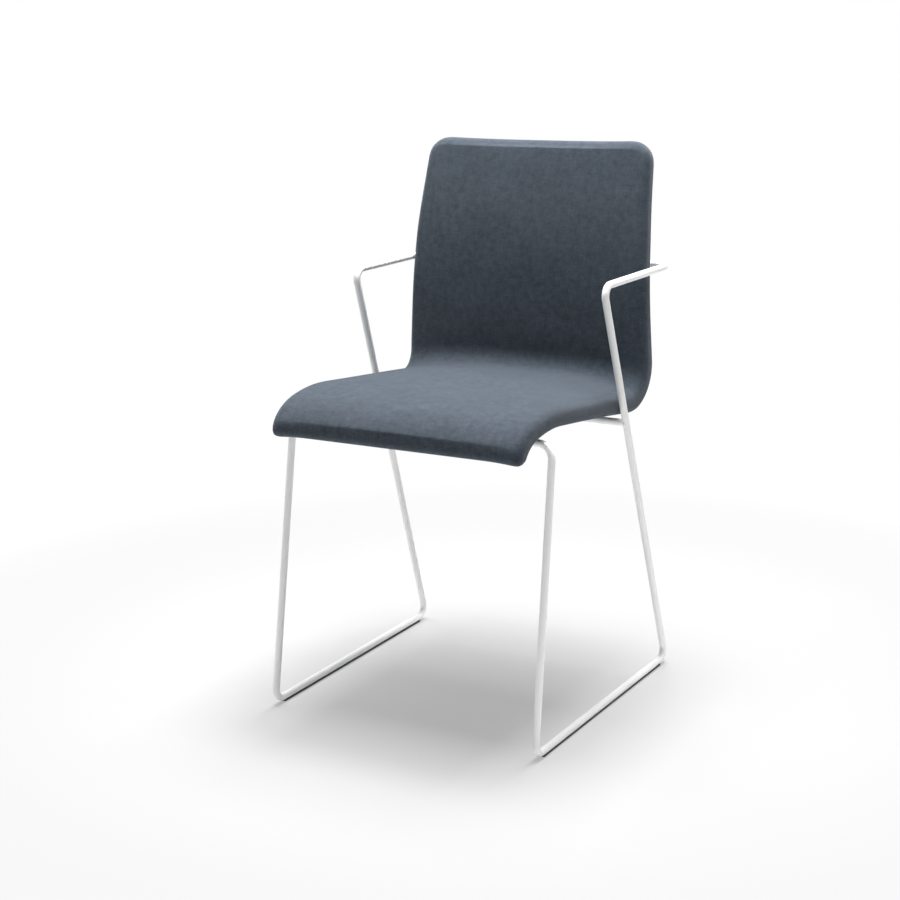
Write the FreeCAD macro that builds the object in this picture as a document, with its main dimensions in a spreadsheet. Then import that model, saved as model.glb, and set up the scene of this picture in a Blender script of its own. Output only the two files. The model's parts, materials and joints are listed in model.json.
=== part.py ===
"""Sled base visitor chair: a bent rod frame that carries a one-piece upholstered shell.

Millimetres, +Z up, front towards -Y, +X to the right of someone facing the chair.
The chair is worked out from the middle of the front floor bends, at the height of
the runners' centre lines, and moved at the end so that its origin is the middle of
its footprint, on the floor.
"""
import FreeCAD, Part
import Sketcher
import math
import os

V = FreeCAD.Vector
X_AXIS = V(1, 0, 0)
Z_AXIS = V(0, 0, 1)

os.makedirs("parts", exist_ok=True)
doc = FreeCAD.newDocument("sled_base_visitor_chair")

# Driving sizes, in millimetres and degrees
SIZES = {
    # Rod frame
    "rod_dia": 11,
    "front_floor_half_width": 225,
    "rear_floor_half_width": 227.5,
    "front_top_half_width": 219,
    "arm_half_width": 214.5,
    "runner_length": 456,
    "arm_height": 636,
    "arm_rear_setback": 485,
    "floor_bend_radius": 17,
    "front_bend_radius": 22,
    "arm_bend_radius": 16,
    "arm_rear_bend_radius": 25,
    # Side line of the shell, from the front lip over the seat and up the back
    "lip_setback": 3.5,
    "lip_height": 425,
    "lip_heading": 94,
    "lip_radius": 21.5,
    "lip_turn": 51,
    "brow_radius": 78,
    "brow_turn": 30.5,
    "dish_radius": 264,
    "seat_fall": 6.2,
    "seat_length": 230,
    "bend_radius": 48.5,
    "bend_turn": 95.8,
    "lumbar_length": 64,
    "back_radius": 760,
    "back_turn": 14.4,
    "top_length": 87,
    # Shell across its line
    "shell_thickness": 30,
    "shell_edge_radius": 10,
    "shell_crown": 3.5,
    "front_corner_radius": 8.5,
    "top_corner_radius": 34,
    "seat_side_gap": 2.4,
    "front_narrowing": 3.5,
    "bend_flare": 3,
    "arm_side_gap": 2.1,
    "top_narrowing": 13.5,
    # Layers of the shell
    "cover_thickness": 1.2,
    "rear_foam_thickness": 4,
    "plywood_thickness": 10,
    "plywood_edge_inset": 6,
    "cover_seam_inset": 4,
    # Mounting of the shell on the cross rods
    "front_screw_station": 109,
    "rear_screw_station": 308,
    "screw_half_spacing": 85,
    "tab_thickness": 3,
    "tab_width": 26,
    "tab_reach": 26,
    "tab_heel": 6,
    "weld_depth": 2,
    "weld_width": 9,
    "pad_thickness": 3.5,
    "pad_width": 28,
    "pad_corner_radius": 5,
    "boss_dia": 14,
    "boss_clearance": 0.3,
    "seat_clearance": 0.15,
    "screw_dia": 6,
    "screw_length": 20,
    "screw_head_dia": 10.5,
    "screw_head_height": 3.3,
    "hex_width": 4,
    "hex_depth": 2.2,
    "screw_hole_clearance": 0.3,
    "washer_dia": 16,
    "washer_thickness": 1.2,
    "tee_flange_dia": 19,
    "tee_flange_thickness": 1.2,
    "tee_barrel_dia": 7.8,
    "tee_barrel_length": 8.8,
    "tee_thread_clearance": 0.05,
    "prong_length": 5,
    "prong_width": 3,
    "prong_thickness": 1.2,
    "prong_count": 4,
    # Glide strips under the runners
    "glide_thickness": 3,
    "glide_width": 8,
    "glide_end_gap": 2,
    "glide_edge_chamfer": 0.8,
    "peg_dia": 4,
    "peg_height": 3.2,
    "peg_clearance": 0.1,
    "peg_end_distance": 30,
    "peg_count": 3,
}

sheet = doc.addObject("Spreadsheet::Sheet", "Sizes")
for row, (alias, value) in enumerate(SIZES.items(), start=1):
    sheet.set(f"A{row}", alias)
    sheet.set(f"B{row}", str(value))
    sheet.setAlias(f"B{row}", alias)
doc.recompute()


def size(alias):
    """A driving size as a plain number."""
    return float(sheet.get(alias))


ROD_R = size("rod_dia") / 2
HALF_T = size("shell_thickness") / 2


# Side line of the shell


class SideLine:
    """The shell's middle line in the YZ plane: arcs and straight runs, each tangent to the last."""

    def __init__(self):
        start_heading = size("lip_heading")
        after_lip = start_heading - size("lip_turn")
        after_brow = after_lip - size("brow_turn")
        seat = -size("seat_fall")
        lumbar = seat + size("bend_turn")
        top = lumbar - size("back_turn")
        self.point = (size("lip_setback"), size("lip_height"))
        self.runs = []
        self.length = 0.0
        self.add_arc(size("lip_radius"), start_heading, after_lip)
        self.add_arc(size("brow_radius"), after_lip, after_brow)
        self.add_arc(size("dish_radius"), after_brow, seat)
        self.add_straight(size("seat_length"), seat)
        self.bend_start = self.length
        self.add_arc(size("bend_radius"), seat, lumbar)
        self.bend_end = self.length
        self.add_straight(size("lumbar_length"), lumbar)
        self.add_arc(size("back_radius"), lumbar, top)
        self.add_straight(size("top_length"), top)

    def add_arc(self, radius, heading_from, heading_to):
        length = radius * math.radians(abs(heading_to - heading_from))
        self.add_run(length, heading_from, heading_to)

    def add_straight(self, length, heading):
        self.add_run(length, heading, heading)

    def add_run(self, length, heading_from, heading_to):
        self.runs.append((self.length, length, self.point, heading_from, heading_to))
        self.point = self.advance(self.point, length, heading_from, heading_to)
        self.length += length

    @staticmethod
    def advance(point, length, heading_from, heading_to):
        """Where a run of this length ends: along its chord."""
        turn = math.radians(heading_to - heading_from)
        chord = length if turn == 0 else length * math.sin(turn / 2) / (turn / 2)
        middle = math.radians((heading_from + heading_to) / 2)
        return (point[0] + chord * math.cos(middle), point[1] + chord * math.sin(middle))

    def at(self, station):
        """Point (y, z) and heading, in degrees, at a distance along the line."""
        for start, length, point, heading_from, heading_to in reversed(self.runs):
            if station >= start or start == 0:
                share = (station - start) / length
                heading = heading_from + share * (heading_to - heading_from)
                return self.advance(point, station - start, heading_from, heading), heading

    def frame(self, station, x=0.0, offset=0.0):
        """Base point, tangent and normal (towards the sitter) at a station."""
        (y, z), heading = self.at(station)
        angle = math.radians(heading)
        tangent = V(0, math.cos(angle), math.sin(angle))
        normal = V(0, -math.sin(angle), math.cos(angle))
        return V(x, y, z) + normal * offset, tangent, normal

    def station_at_height(self, height):
        """Station on the back where the line reaches a height."""
        low, high = self.bend_end, self.length
        for _ in range(40):
            middle = (low + high) / 2
            if self.at(middle)[0][1] < height:
                low = middle
            else:
                high = middle
        return low


side = SideLine()


# Places that the frame and the shell share

ROD_DEPTH = HALF_T + size("pad_thickness") + size("tab_thickness") + ROD_R


def cross_rod_point(station, reach):
    """Centre of a cross rod, below the shell and a tab's reach along from its screw."""
    base, tangent, normal = side.frame(station)
    return base - normal * ROD_DEPTH + tangent * reach


front_rod = cross_rod_point(size("front_screw_station"), -size("tab_reach"))
rear_rod = cross_rod_point(size("rear_screw_station"), size("tab_reach"))
runner_length = size("runner_length")
arm_height = size("arm_height")


def between(start, end, share):
    return start + (end - start) * share


def leg_half_width(height):
    """Half width between the rear legs' centre lines at a height."""
    share = height / arm_height
    return between(size("rear_floor_half_width"), size("arm_half_width"), share)


arm_front_setback = between(runner_length, rear_rod.y, arm_height / rear_rod.z)
front_floor = V(size("front_floor_half_width"), 0, 0)
rear_floor = V(size("rear_floor_half_width"), runner_length, 0)
front_top = V(size("front_top_half_width"), front_rod.y, front_rod.z)
arm_front = V(size("arm_half_width"), arm_front_setback, arm_height)
arm_rear = V(size("arm_half_width"), size("arm_rear_setback"), arm_height)

# Half widths of the shell at stations along its line
seat_half_width = leg_half_width(rear_rod.z + ROD_DEPTH) - ROD_R - size("seat_side_gap")
arm_gap_half_width = size("arm_half_width") - ROD_R - size("arm_side_gap")
WIDTH_KNOTS = [
    (0.0, seat_half_width - size("front_narrowing")),
    (side.bend_start, seat_half_width),
    (side.bend_end, seat_half_width + size("bend_flare")),
    (side.station_at_height(arm_height), arm_gap_half_width),
    (side.length, arm_gap_half_width - size("top_narrowing")),
]


def plan_half_width(station):
    """Half width of the shell before its corners are rounded."""
    for (start, width_from), (end, width_to) in zip(WIDTH_KNOTS, WIDTH_KNOTS[1:]):
        if station <= end:
            return between(width_from, width_to, (station - start) / (end - start))
    return WIDTH_KNOTS[-1][1]


def round_drop(distance, radius):
    """How far a round of this radius stands back at a distance from its end."""
    if distance >= radius:
        return 0.0
    return radius - math.sqrt(radius ** 2 - (radius - distance) ** 2)


# Lofts of the shell

END_STEPS = 5
END_START = 0.06
ARC_STEP = 14.0
STRAIGHT_STEP = 70.0


def shell_stations(inset, end_radii):
    """Stations of the sections: close together round the ends and bends."""
    front_radius, top_radius = end_radii
    stations = set()
    for radius, place in ((front_radius, lambda e: inset + e), (top_radius, lambda e: side.length - inset - e)):
        for step in range(END_STEPS + 1):
            share = END_START + (1 - END_START) * step / END_STEPS
            stations.add(place(radius * (1 - math.cos(share * math.pi / 2))))
    low = inset + front_radius
    high = side.length - inset - top_radius
    for start, length, _, heading_from, heading_to in side.runs:
        turn = abs(heading_to - heading_from)
        steps = max(2, math.ceil(turn / ARC_STEP), math.ceil(length / STRAIGHT_STEP))
        for step in range(steps):
            station = start + length * step / steps
            if low + 1 < station < high - 1:
                stations.add(station)
    return sorted(stations)


def section_wire(station, half_width, front, rear, edge_radius, crown):
    """Closed outline across the shell: crowned front, flat rear, rounded edges."""
    base, _, normal = side.frame(station)

    def at(x, offset):
        return base + X_AXIS * x + normal * offset

    inner = half_width - edge_radius
    diagonal = edge_radius * (1 - math.sqrt(0.5))
    edges = [Part.Arc(at(-inner, front), at(0, front + crown), at(inner, front)).toShape()]
    for sign, top_first in ((1, True), (-1, False)):
        corners = [(front, -1), (rear, 1)] if top_first else [(rear, 1), (front, -1)]
        for index, (face, inward) in enumerate(corners):
            flat_end = at(sign * inner, face)
            middle = at(sign * (half_width - diagonal), face + inward * diagonal)
            side_end = at(sign * half_width, face + inward * edge_radius)
            ends = (flat_end, side_end) if index == 0 else (side_end, flat_end)
            edges.append(Part.Arc(ends[0], middle, ends[1]).toShape())
            if index == 0:
                next_face, next_inward = corners[1]
                across = at(sign * half_width, next_face + next_inward * edge_radius)
                edges.append(Part.makeLine(side_end, across))
        if top_first:
            edges.append(Part.makeLine(at(inner, rear), at(-inner, rear)))
    return Part.Wire(Part.__sortEdges__(edges))


def upholstery_loft(inset):
    """The upholstered form drawn in by an inset all round: round nose at lip and top."""
    nose = HALF_T - inset
    front_corner = max(size("front_corner_radius") - inset, 1)
    top_corner = max(size("top_corner_radius") - inset, 1)
    sections = []
    for station in shell_stations(inset, (nose, max(nose, top_corner))):
        from_front = station - inset
        from_top = side.length - inset - station
        end_distance = min(from_front, from_top)
        half = nose - round_drop(end_distance, nose)
        drop = round_drop(from_front, front_corner) + round_drop(from_top, top_corner)
        half_width = plan_half_width(station) - inset - drop
        edge_radius = min(size("shell_edge_radius") - inset, 0.9 * half)
        crown = size("shell_crown") * half / nose
        sections.append(section_wire(station, half_width, half, -half, edge_radius, crown))
    return Part.makeLoft(sections, True, False)


PLY_REAR = -HALF_T + size("cover_thickness") + size("rear_foam_thickness")
PLY_FRONT = PLY_REAR + size("plywood_thickness")
PRISM_MARGIN = 40.0


def line_edges(offset, start, end):
    """Arcs and straight edges that follow the side line at an offset, between stations."""
    edges = []
    for run_start, length, _, heading_from, heading_to in side.runs:
        first = max(start, run_start)
        last = min(end, run_start + length)
        if last <= first:
            continue
        ends = [side.frame(between(first, last, share), offset=offset)[0] for share in (0, 0.5, 1)]
        if heading_from == heading_to:
            edges.append(Part.makeLine(ends[0], ends[2]))
        else:
            edges.append(Part.Arc(*ends).toShape())
    return edges


def polygon_prism(points, direction):
    return Part.Face(Part.makePolygon(points + points[:1])).extrude(direction)


def outline_prism(knots, low, high, place, direction):
    """Prism over an outline that is symmetric in X and follows half widths at knots."""
    sides = [(knots[0][1], low)] + [(half, level) for level, half in knots] + [(knots[-1][1], high)]
    right = [place(half, level) for half, level in sides]
    left = [place(-half, level) for half, level in reversed(sides)]
    return polygon_prism(right + left, direction)


def plywood_sheet():
    """The bent board: even thickness, trimmed to the shell's taper, with rounded corners."""
    inset = size("plywood_edge_inset")
    start, end = inset, side.length - inset
    rear_edges = line_edges(PLY_REAR, start, end)
    front_edges = line_edges(PLY_FRONT, start, end)
    first, last = [side.frame(station, offset=PLY_REAR)[0] for station in (start, end)]
    first_front, last_front = [side.frame(station, offset=PLY_FRONT)[0] for station in (start, end)]
    caps = [Part.makeLine(first, first_front), Part.makeLine(last_front, last)]
    profile = Part.Face(Part.Wire(Part.__sortEdges__(rear_edges + front_edges + caps)))
    reach = size("rear_floor_half_width")
    profile.translate(V(-reach, 0, 0))
    board = profile.extrude(V(2 * reach, 0, 0))

    box = board.BoundBox
    seat_knots = []
    back_knots = []
    for station, half in WIDTH_KNOTS:
        y, z = side.at(station)[0]
        if station <= side.bend_end:
            seat_knots.append((y, half - inset))
        if station >= side.bend_end:
            back_knots.append((z, half - inset))
    plan = outline_prism(
        seat_knots, box.YMin - PRISM_MARGIN, box.YMax + PRISM_MARGIN,
        lambda x, y: V(x, y, box.ZMin - PRISM_MARGIN), V(0, 0, box.ZLength + 2 * PRISM_MARGIN),
    )
    face = outline_prism(
        back_knots, box.ZMin - PRISM_MARGIN, box.ZMax + PRISM_MARGIN,
        lambda x, z: V(x, box.YMin - PRISM_MARGIN, z), V(0, box.YLength + 2 * PRISM_MARGIN, 0),
    )
    board = board.common(plan).common(face)
    for place, corner_radius in (
        (first, size("front_corner_radius") - size("cover_thickness")),
        (last, size("top_corner_radius") - inset),
    ):
        corners = [
            edge for edge in board.Edges
            if abs(edge.Length - size("plywood_thickness")) < 0.5
            and abs(edge.CenterOfMass.x) > reach / 2
            and edge.CenterOfMass.distanceToPoint(V(edge.CenterOfMass.x, place.y, place.z))
            < size("plywood_thickness")
        ]
        board = board.makeFillet(corner_radius, corners)
    return board


def sitter_side_prism(offset):
    """All space on the sitter's side of the shell's line at an offset from it."""
    edges = line_edges(offset, 0, side.length)
    start, tangent, _ = side.frame(0, offset=offset)
    below = start - tangent * PRISM_MARGIN
    end, tangent, _ = side.frame(side.length, offset=offset)
    above = end + tangent * PRISM_MARGIN
    front_y = -HALF_T - PRISM_MARGIN
    front_high = V(0, front_y, above.z)
    front_low = V(0, front_y, below.z)
    corners = [end, above, front_high, front_low, below, start]
    for first, second in zip(corners, corners[1:]):
        edges.append(Part.makeLine(first, second))
    reach = size("rear_floor_half_width") + PRISM_MARGIN
    face = Part.Face(Part.Wire(edges))
    face.translate(V(-reach, 0, 0))
    return face.extrude(V(2 * reach, 0, 0))


# Helpers for document objects


def feature(name, shape):
    obj = doc.addObject("Part::Feature", name)
    obj.Shape = shape
    return obj


def boolean(kind, name, base, tool):
    obj = doc.addObject(f"Part::{kind}", name)
    obj.Base = base
    obj.Tool = tool
    return obj


def compound(name, objects):
    obj = doc.addObject("Part::Compound", name)
    obj.Links = objects
    return obj


def mirrored(name, source):
    obj = doc.addObject("Part::Mirroring", name)
    obj.Source = source
    obj.Normal = X_AXIS
    return obj


def origin_plane(body, role):
    for plane in body.Origin.OriginFeatures:
        if plane.Role == role:
            return plane
    raise ValueError(role)


def new_sketch(body, name, role="XY_Plane", lift=None):
    """A sketch on one of the body's origin planes, lifted by an expression."""
    sketch = body.newObject("Sketcher::SketchObject", name)
    sketch.AttachmentSupport = (origin_plane(body, role), [""])
    sketch.MapMode = "FlatFace"
    if lift:
        sketch.setExpression("AttachmentOffset.Base.z", lift)
    return sketch


def constrain(sketch, kind, geometry, expression, *points):
    """Add a size constraint bound to an expression of the sheet."""
    index = sketch.addConstraint(Sketcher.Constraint(kind, *geometry, 1.0 if not points else points[0]))
    sketch.setExpression(f"Constraints[{index}]", expression)


def add_circle(sketch, diameter, value, x="0", y="0", x_value=0.0, y_value=0.0):
    """A circle of a bound diameter with its centre at bound places."""
    circle = Part.Circle(V(x_value, y_value, 0), Z_AXIS, value / 2)
    index = sketch.addGeometry(circle, False)
    constrain(sketch, "Diameter", (index,), diameter, value)
    if x_value == 0:
        sketch.addConstraint(Sketcher.Constraint("PointOnObject", index, 3, -2))
    else:
        constrain(sketch, "DistanceX", (-1, 1, index, 3), x, x_value)
    if y_value == 0:
        sketch.addConstraint(Sketcher.Constraint("PointOnObject", index, 3, -1))
    else:
        constrain(sketch, "DistanceY", (-1, 1, index, 3), y, y_value)
    return index


def add_polygon(sketch, points):
    """A closed polygon; every corner is held at its place by bound distances.

    Each point is (x, x_expression, y, y_expression).
    """
    count = len(points)
    first = sketch.GeometryCount
    for index, (x, _, y, _) in enumerate(points):
        next_x, _, next_y, _ = points[(index + 1) % count]
        sketch.addGeometry(Part.LineSegment(V(x, y, 0), V(next_x, next_y, 0)), False)
    for index in range(count):
        following = first + (index + 1) % count
        sketch.addConstraint(Sketcher.Constraint("Coincident", first + index, 2, following, 1))
    for index, (x, x_expression, y, y_expression) in enumerate(points):
        if abs(x) < 1e-9:
            sketch.addConstraint(Sketcher.Constraint("PointOnObject", first + index, 1, -2))
        else:
            constrain(sketch, "DistanceX", (-1, 1, first + index, 1), x_expression, x)
        if abs(y) < 1e-9:
            sketch.addConstraint(Sketcher.Constraint("PointOnObject", first + index, 1, -1))
        else:
            constrain(sketch, "DistanceY", (-1, 1, first + index, 1), y_expression, y)


def new_pad(body, name, sketch, length, reverse=False):
    pad = body.newObject("PartDesign::Pad", name)
    pad.Profile = sketch
    pad.setExpression("Length", length)
    pad.Reversed = reverse
    return pad


def new_pocket(body, name, sketch, length, reverse=False):
    pocket = body.newObject("PartDesign::Pocket", name)
    pocket.Profile = sketch
    pocket.setExpression("Length", length)
    pocket.Reversed = reverse
    return pocket


def placed(base, x_direction, normal):
    """Placement whose Z axis is the normal and whose X axis is near the direction given."""
    return FreeCAD.Placement(base, FreeCAD.Rotation(x_direction, V(), normal, "ZXY"))


# The four places where the shell is screwed to the frame
MOUNT_PLACES = {}
for end, station, turned in (
    ("front", size("front_screw_station"), 1),
    ("rear", size("rear_screw_station"), -1),
):
    for hand, sign in (("left", -1), ("right", 1)):
        MOUNT_PLACES[f"{end}_{hand}"] = (station, sign * size("screw_half_spacing"), turned)


def mount_placement(place, offset):
    """Frame at a mounting place: Z towards the sitter, Y from the rod to the screw."""
    station, x, turned = MOUNT_PLACES[place]
    base, _, normal = side.frame(station, x, offset)
    return placed(base, X_AXIS * turned, normal)


# Rod frame


def bent_wire(points, radii):
    """Straight runs through the points, joined by tangent arcs of the radii given."""
    edges = []
    start = points[0]
    for before, corner, after, radius in zip(points, points[1:], points[2:], radii):
        to_before = (before - corner).normalize()
        to_after = (after - corner).normalize()
        half_angle = to_before.getAngle(to_after) / 2
        tangent_length = radius / math.tan(half_angle)
        to_centre = (to_before + to_after).normalize()
        centre = corner + to_centre * (radius / math.sin(half_angle))
        arc_start = corner + to_before * tangent_length
        arc_end = corner + to_after * tangent_length
        edges.append(Part.makeLine(start, arc_start))
        edges.append(Part.Arc(arc_start, centre - to_centre * radius, arc_end).toShape())
        start = arc_end
    edges.append(Part.makeLine(start, points[-1]))
    return Part.Wire(edges)


def bend_tangent(before, corner, after, radius):
    """Length of straight rod that a bend takes off each side of its corner."""
    return radius / math.tan((before - corner).getAngle(after - corner) / 2)


def make_side_rod():
    """One half of the frame: a single rod from the front cross joint to the rear loop joint."""
    points = [
        V(0, front_top.y, front_top.z),
        front_top,
        front_floor,
        rear_floor,
        arm_front,
        arm_rear,
        V(0, arm_rear.y, arm_rear.z),
    ]
    radii = [
        size("front_bend_radius"),
        size("floor_bend_radius"),
        size("floor_bend_radius"),
        size("arm_bend_radius"),
        size("arm_rear_bend_radius"),
    ]
    spine = feature("side_rod_line", bent_wire(points, radii))
    section = doc.addObject("Part::Circle", "side_rod_section")
    section.setExpression("Radius", "Sizes.rod_dia / 2")
    section.Placement = FreeCAD.Placement(points[0], FreeCAD.Rotation(Z_AXIS, X_AXIS))
    rod = doc.addObject("Part::Sweep", "side_rod")
    rod.Sections = [section]
    rod.Spine = (spine, [f"Edge{number + 1}" for number in range(len(spine.Shape.Edges))])
    rod.Solid = True
    return rod


front_leg_tangent = bend_tangent(front_top, front_floor, rear_floor, size("floor_bend_radius"))
rear_leg_tangent = bend_tangent(front_floor, rear_floor, arm_front, size("floor_bend_radius"))
runner_direction = (rear_floor - front_floor).normalize()
glide_start = front_leg_tangent + size("glide_end_gap")
glide_end = (rear_floor - front_floor).Length - rear_leg_tangent - size("glide_end_gap")
glide_length = glide_end - glide_start
peg_pitch = (glide_length - 2 * size("peg_end_distance")) / (size("peg_count") - 1)


def runner_placement(sign):
    """Frame at a glide's front end: Y along the runner, Z up, on the runner's centre line."""
    start = front_floor + runner_direction * glide_start
    turn = math.degrees(math.atan2(runner_direction.x, runner_direction.y))
    place = V(sign * start.x, start.y, 0)
    return FreeCAD.Placement(place, FreeCAD.Rotation(Z_AXIS, -sign * turn))


def make_peg_holes():
    """Blind holes for the glide's pegs, up into the underside of the runner."""
    holes = []
    for number in range(int(size("peg_count"))):
        hole = doc.addObject("Part::Cylinder", f"peg_hole_{number + 1}")
        hole.setExpression("Radius", "Sizes.peg_dia / 2 + Sizes.peg_clearance")
        hole.setExpression("Height", "Sizes.rod_dia / 2 + Sizes.peg_height")
        along = size("peg_end_distance") + number * peg_pitch
        local = V(0, along, -size("rod_dia"))
        hole.Placement = runner_placement(1).multiply(FreeCAD.Placement(local, FreeCAD.Rotation()))
        holes.append(hole)
    return compound("peg_holes", holes)


side_frame_right = boolean("Cut", "side_frame_right", make_side_rod(), make_peg_holes())
side_frame_left = mirrored("side_frame_left", side_frame_right)


def make_rear_cross_rod():
    """Straight rod between the rear legs, its ends coped to sit against them."""
    reach = leg_half_width(rear_rod.z)
    rod = doc.addObject("Part::Cylinder", "rear_cross_blank")
    rod.setExpression("Radius", "Sizes.rod_dia / 2")
    rod.Height = 2 * reach
    rod.Placement = FreeCAD.Placement(V(-reach, rear_rod.y, rear_rod.z), FreeCAD.Rotation(Z_AXIS, X_AXIS))
    frames = compound("frames_for_coping", [side_frame_left, side_frame_right])
    return boolean("Cut", "rear_cross_rod", rod, frames)


rear_cross_rod = make_rear_cross_rod()


# Glide strips


def make_glide(hand, sign):
    """Strip that cups the underside of the runner, with pegs that plug into it."""
    body = doc.addObject("PartDesign::Body", f"runner_glide_{hand}")
    section = new_sketch(body, f"glide_section_{hand}", "XZ_Plane")
    half = size("glide_width") / 2
    bottom = -ROD_R - size("glide_thickness")
    lip = -math.sqrt(ROD_R ** 2 - half ** 2)
    width = "Sizes.glide_width / 2"
    low = "-(Sizes.rod_dia / 2 + Sizes.glide_thickness)"
    edge = "Sizes.glide_edge_chamfer"
    lip_height = "-sqrt((Sizes.rod_dia / 2)^2 - (Sizes.glide_width / 2)^2)"
    chamfer = size("glide_edge_chamfer")
    points = [
        (half, width, lip, lip_height),
        (half, width, bottom + chamfer, f"{low} + {edge}"),
        (half - chamfer, f"{width} - {edge}", bottom, low),
        (-half + chamfer, f"-({width}) + {edge}", bottom, low),
        (-half, f"-({width})", bottom + chamfer, f"{low} + {edge}"),
        (-half, f"-({width})", lip, lip_height),
    ]
    for start, end in zip(points, points[1:]):
        section.addGeometry(Part.LineSegment(V(start[0], start[2], 0), V(end[0], end[2], 0)), False)
    cup = Part.Arc(V(-half, lip, 0), V(0, -ROD_R, 0), V(half, lip, 0))
    cup_index = section.addGeometry(cup, False)
    for index in range(len(points) - 2):
        section.addConstraint(Sketcher.Constraint("Coincident", index, 2, index + 1, 1))
    last = len(points) - 2
    section.addConstraint(Sketcher.Constraint("Coincident", cup_index, 3, -1, 1))
    section.addConstraint(Sketcher.Constraint("Coincident", last, 2, cup_index, 1))
    section.addConstraint(Sketcher.Constraint("Coincident", cup_index, 2, 0, 1))
    constrain(section, "Radius", (cup_index,), "Sizes.rod_dia / 2", ROD_R)
    for index, (x, x_expression, y, y_expression) in enumerate(points[:-1]):
        constrain(section, "DistanceX", (-1, 1, index, 1), x_expression, x)
        if index > 0:
            constrain(section, "DistanceY", (-1, 1, index, 1), y_expression, y)
    constrain(section, "DistanceX", (-1, 1, last, 2), f"-({width})", -half)
    strip = body.newObject("PartDesign::Pad", f"glide_strip_{hand}")
    strip.Profile = section
    strip.Length = glide_length
    strip.Reversed = True
    doc.recompute()

    base_lift = "-(Sizes.rod_dia / 2 + Sizes.glide_thickness / 2)"
    pegs = new_sketch(body, f"peg_section_{hand}", "XY_Plane", base_lift)
    for number in range(int(size("peg_count"))):
        along = size("peg_end_distance") + number * peg_pitch
        place = f"Sizes.peg_end_distance + {number} * {peg_pitch}"
        add_circle(pegs, "Sizes.peg_dia", size("peg_dia"), y=place, y_value=along)
    new_pad(body, f"pegs_{hand}", pegs, "Sizes.glide_thickness / 2 + Sizes.peg_height")
    body.Placement = runner_placement(sign)
    return body


glides = [make_glide("left", -1), make_glide("right", 1)]


# Tabs, pads and fasteners


def tab_placement(place):
    """Frame on a tab's lower face, over the rod's centre line, Y towards the screw."""
    station, x, turned = MOUNT_PLACES[place]
    depth = HALF_T + size("pad_thickness") + size("tab_thickness")
    base, tangent, normal = side.frame(station, x, -depth)
    return placed(base - tangent * (turned * size("tab_reach")), X_AXIS * turned, normal)


def make_tab(place):
    """Flat tab welded on top of a cross rod, with a round end about its screw hole."""
    body = doc.addObject("PartDesign::Body", f"tab_plate_{place}")
    outline = new_sketch(body, f"tab_outline_{place}")
    half = size("tab_width") / 2
    heel = size("tab_heel")
    reach = size("tab_reach")
    corners = [V(half, reach, 0), V(half, -heel, 0), V(-half, -heel, 0), V(-half, reach, 0)]
    for start, end in zip(corners, corners[1:]):
        outline.addGeometry(Part.LineSegment(start, end), False)
    outline.addGeometry(Part.Arc(V(half, reach, 0), V(0, reach + half, 0), V(-half, reach, 0)), False)
    for first, second in ((0, 1), (1, 2)):
        outline.addConstraint(Sketcher.Constraint("Coincident", first, 2, second, 1))
    outline.addConstraint(Sketcher.Constraint("Coincident", 3, 1, 0, 1))
    outline.addConstraint(Sketcher.Constraint("Coincident", 3, 2, 2, 2))
    outline.addConstraint(Sketcher.Constraint("PointOnObject", 3, 3, -2))
    outline.addConstraint(Sketcher.Constraint("Horizontal", 1))
    outline.addConstraint(Sketcher.Constraint("Vertical", 0))
    outline.addConstraint(Sketcher.Constraint("Vertical", 2))
    constrain(outline, "Radius", (3,), "Sizes.tab_width / 2", half)
    constrain(outline, "DistanceY", (-1, 1, 3, 3), "Sizes.tab_reach", reach)
    constrain(outline, "DistanceY", (0, 2, -1, 1), "Sizes.tab_heel", heel)
    hole = "Sizes.screw_dia + Sizes.screw_hole_clearance * 2"
    hole_value = size("screw_dia") + 2 * size("screw_hole_clearance")
    add_circle(outline, hole, hole_value, y="Sizes.tab_reach", y_value=reach)
    new_pad(body, f"tab_{place}_pad", outline, "Sizes.tab_thickness")
    weld = new_sketch(body, f"weld_outline_{place}")
    half_weld = size("weld_width") / 2
    across = "Sizes.tab_width / 2"
    along = "Sizes.weld_width / 2"
    add_polygon(weld, [
        (-half, f"-{across}", -half_weld, f"-{along}"),
        (half, across, -half_weld, f"-{along}"),
        (half, across, half_weld, along),
        (-half, f"-{across}", half_weld, along),
    ])
    new_pad(body, f"weld_{place}", weld, "Sizes.weld_depth", reverse=True)
    body.Placement = tab_placement(place)
    rods = side_frame_rods if place.startswith("front") else rear_cross_rod
    return boolean("Cut", f"mount_tab_{place}", body, rods)


side_frame_rods = compound("frames_for_tabs", [side_frame_left, side_frame_right])


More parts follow.
